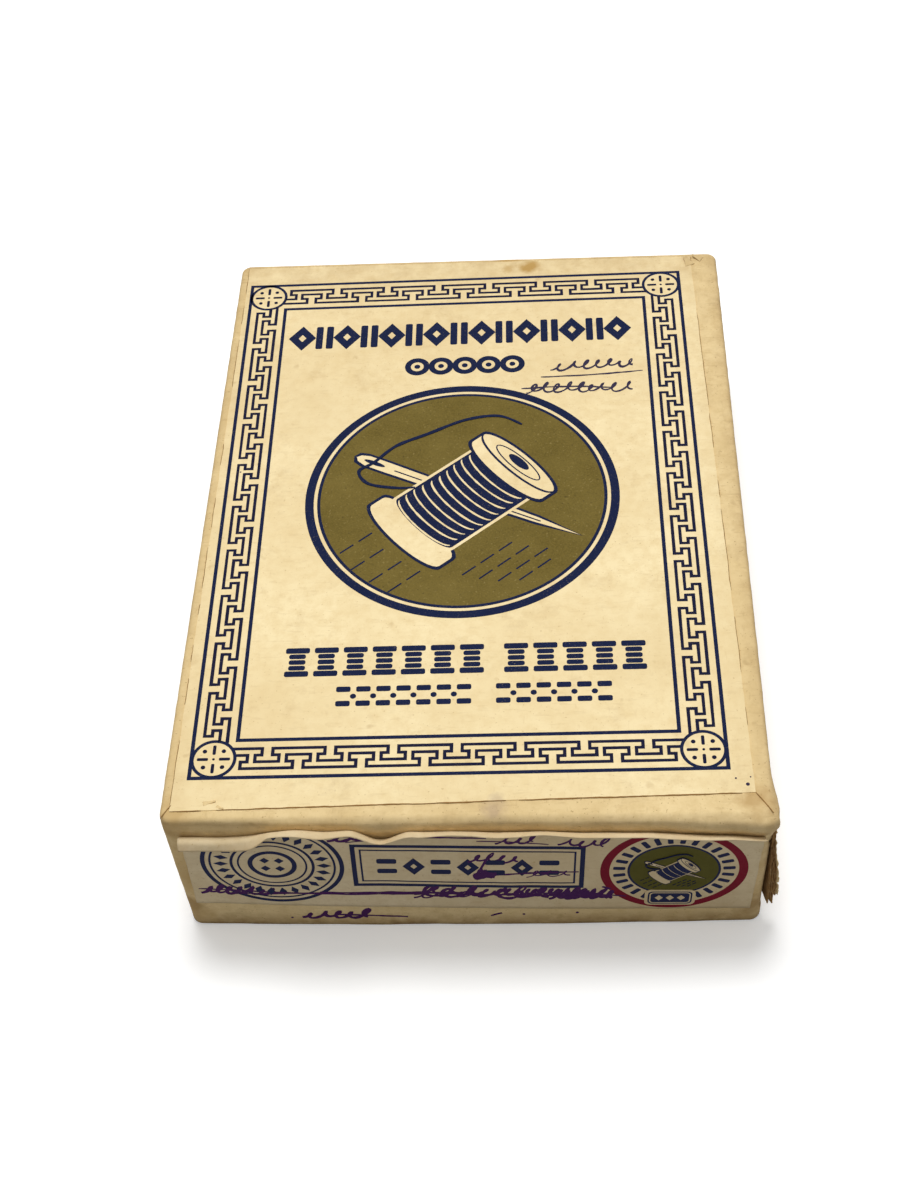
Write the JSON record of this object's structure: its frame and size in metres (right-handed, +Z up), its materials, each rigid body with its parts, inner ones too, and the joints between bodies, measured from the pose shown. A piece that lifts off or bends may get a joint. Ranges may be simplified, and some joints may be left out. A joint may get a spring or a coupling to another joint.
{
  "type": "thread spool carton",
  "caption": "Telescoping paperboard carton with printed lid labels, holding wooden spools of sewing thread that lie in rows and turn where they lie.",
  "frame": {"origin": "middle of the tray's underside, on the table", "axes": "+Z up, the lid's lift; +Y along the carton's length and the spools' axes; the lid's labelled end wall faces -Y"},
  "size_m": [0.0926, 0.1299, 0.0313],
  "materials": {
    "chipboard": "matte",
    "gummed_paper": "matte",
    "wrap_paper": "matte",
    "label_paper": "matte",
    "spool_wood": "satin",
    "thread": "satin",
    "spool_paper": "matte"
  },
  "bodies": {
    "tray": {"tray_board": "chipboard", "tray_corner_stays": "gummed_paper", "tray_wrap": "wrap_paper"},
    "lid": {"lid_board": "chipboard", "lid_corner_stays": "gummed_paper", "lid_wrap": "wrap_paper", "lid_top_label": "label_paper", "lid_end_label": "label_paper"},
    "spool_a1": {"spool_a1_core": "spool_wood", "spool_a1_thread": "thread", "spool_a1_front_label": "spool_paper", "spool_a1_back_label": "spool_paper"},
    "spool_a2": {"spool_a2_core": "spool_wood", "spool_a2_thread": "thread", "spool_a2_front_label": "spool_paper", "spool_a2_back_label": "spool_paper"},
    "spool_a3": {"spool_a3_core": "spool_wood", "spool_a3_thread": "thread", "spool_a3_front_label": "spool_paper", "spool_a3_back_label": "spool_paper"},
    "spool_b1": {"spool_b1_core": "spool_wood", "spool_b1_thread": "thread", "spool_b1_front_label": "spool_paper", "spool_b1_back_label": "spool_paper"},
    "spool_b2": {"spool_b2_core": "spool_wood", "spool_b2_thread": "thread", "spool_b2_front_label": "spool_paper", "spool_b2_back_label": "spool_paper"},
    "spool_b3": {"spool_b3_core": "spool_wood", "spool_b3_thread": "thread", "spool_b3_front_label": "spool_paper", "spool_b3_back_label": "spool_paper"},
    "spool_c1": {"spool_c1_core": "spool_wood", "spool_c1_thread": "thread", "spool_c1_front_label": "spool_paper", "spool_c1_back_label": "spool_paper"},
    "spool_c2": {"spool_c2_core": "spool_wood", "spool_c2_thread": "thread", "spool_c2_front_label": "spool_paper", "spool_c2_back_label": "spool_paper"},
    "spool_c3": {"spool_c3_core": "spool_wood", "spool_c3_thread": "thread", "spool_c3_front_label": "spool_paper", "spool_c3_back_label": "spool_paper"},
    "spool_d1": {"spool_d1_core": "spool_wood", "spool_d1_thread": "thread", "spool_d1_front_label": "spool_paper", "spool_d1_back_label": "spool_paper"},
    "spool_d2": {"spool_d2_core": "spool_wood", "spool_d2_thread": "thread", "spool_d2_front_label": "spool_paper", "spool_d2_back_label": "spool_paper"},
    "spool_d3": {"spool_d3_core": "spool_wood", "spool_d3_thread": "thread", "spool_d3_front_label": "spool_paper", "spool_d3_back_label": "spool_paper"}
  },
  "joints": [
    {"name": "lid_lift", "type": "slide", "parent": "tray", "child": "lid", "axis": [0, 0, 1], "range_m": [0, 0.1]},
    {"name": "spool_a1_spin", "type": "hinge", "parent": "tray", "child": "spool_a1", "pos_m": [-0.0288, -0.0459, 0.0153], "axis": [0, 1, 0], "continuous": true},
    {"name": "spool_a2_spin", "type": "hinge", "parent": "tray", "child": "spool_a2", "pos_m": [0, -0.0459, 0.0153], "axis": [0, 1, 0], "continuous": true},
    {"name": "spool_a3_spin", "type": "hinge", "parent": "tray", "child": "spool_a3", "pos_m": [0.0288, -0.0459, 0.0153], "axis": [0, 1, 0], "continuous": true},
    {"name": "spool_b1_spin", "type": "hinge", "parent": "tray", "child": "spool_b1", "pos_m": [-0.0288, -0.0153, 0.0153], "axis": [0, 1, 0], "continuous": true},
    {"name": "spool_b2_spin", "type": "hinge", "parent": "tray", "child": "spool_b2", "pos_m": [0, -0.0153, 0.0153], "axis": [0, 1, 0], "continuous": true},
    {"name": "spool_b3_spin", "type": "hinge", "parent": "tray", "child": "spool_b3", "pos_m": [0.0288, -0.0153, 0.0153], "axis": [0, 1, 0], "continuous": true},
    {"name": "spool_c1_spin", "type": "hinge", "parent": "tray", "child": "spool_c1", "pos_m": [-0.0288, 0.0153, 0.0153], "axis": [0, 1, 0], "continuous": true},
    {"name": "spool_c2_spin", "type": "hinge", "parent": "tray", "child": "spool_c2", "pos_m": [0, 0.0153, 0.0153], "axis": [0, 1, 0], "continuous": true},
    {"name": "spool_c3_spin", "type": "hinge", "parent": "tray", "child": "spool_c3", "pos_m": [0.0288, 0.0153, 0.0153], "axis": [0, 1, 0], "continuous": true},
    {"name": "spool_d1_spin", "type": "hinge", "parent": "tray", "child": "spool_d1", "pos_m": [-0.0288, 0.0459, 0.0153], "axis": [0, 1, 0], "continuous": true},
    {"name": "spool_d2_spin", "type": "hinge", "parent": "tray", "child": "spool_d2", "pos_m": [0, 0.0459, 0.0153], "axis": [0, 1, 0], "continuous": true},
    {"name": "spool_d3_spin", "type": "hinge", "parent": "tray", "child": "spool_d3", "pos_m": [0.0288, 0.0459, 0.0153], "axis": [0, 1, 0], "continuous": true}
  ]
}
